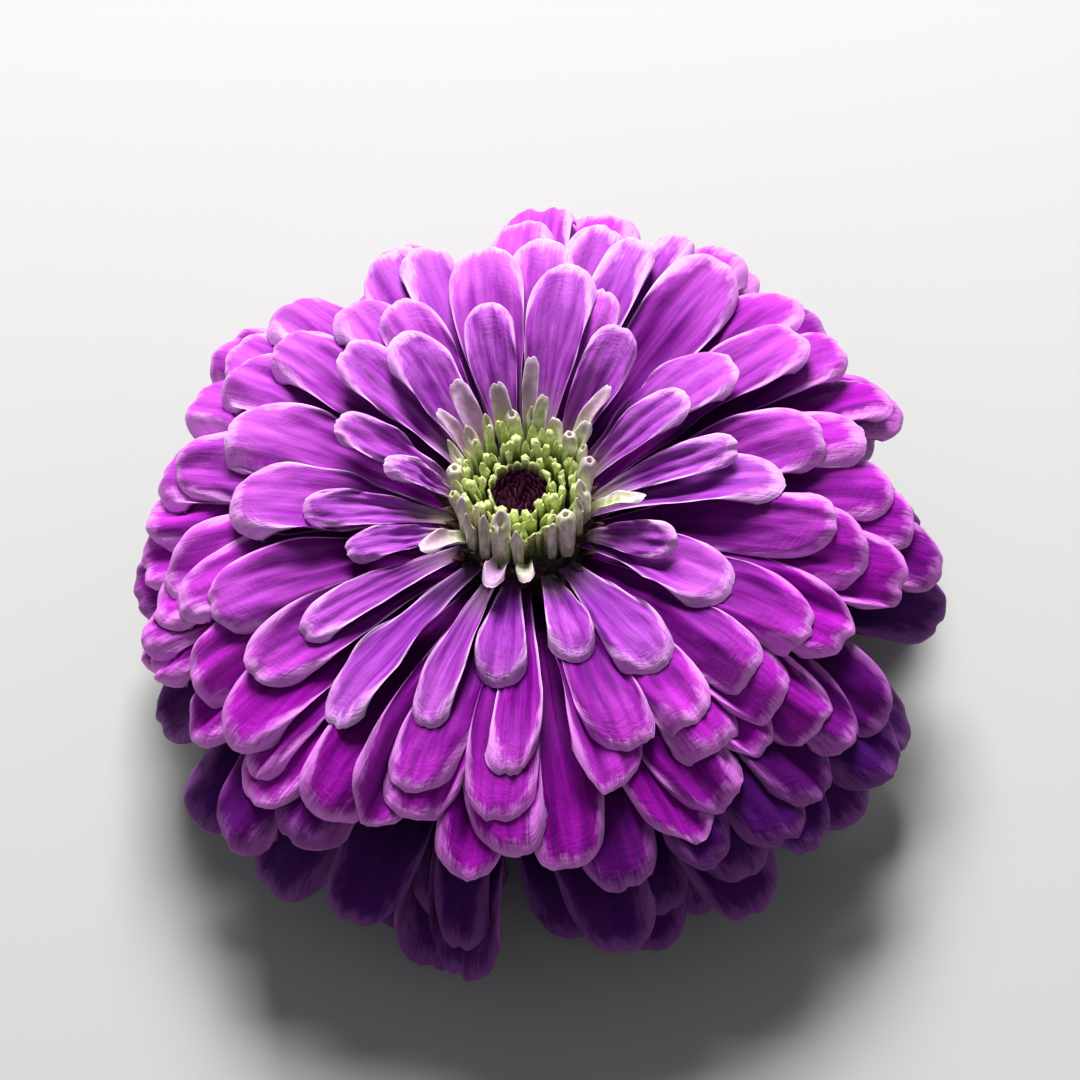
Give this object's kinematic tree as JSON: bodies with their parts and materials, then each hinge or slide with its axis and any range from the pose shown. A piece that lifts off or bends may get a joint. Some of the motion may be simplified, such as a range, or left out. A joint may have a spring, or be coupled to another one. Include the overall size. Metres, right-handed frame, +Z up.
{
  "type": "zinnia flower",
  "caption": "Double zinnia bloom picked with a short stem stub and set down face up: magenta-purple ray florets in layers round a lime and maroon disc.",
  "frame": {"origin": "on the surface the bloom rests on, under the middle of its outline, on the bloom's axis", "axes": "+Z up along the bloom's axis, out of its face; -Y towards the viewer of the picture, +X to their right"},
  "size_m": [0.099, 0.099, 0.0445],
  "materials": {
    "petal": "magenta-purple petal, soft satin, paler at its edges, fine veins along it",
    "young_petal": "pale green-white, matt, with a mauve mouth",
    "disc_bud": "lime green, satin",
    "disc_scale": "dark maroon, matt",
    "bract": "green, satin, with dark papery margins",
    "stem": "fresh green stem, ribbed, finely hairy, pale at the cut"
  },
  "bodies": {
    "root": {"ray_florets": "petal", "young_ray_florets": "young_petal", "disc_florets": "disc_bud", "disc_eye": "disc_scale", "involucre": "bract", "stem": "stem"}
  },
  "joints": []
}
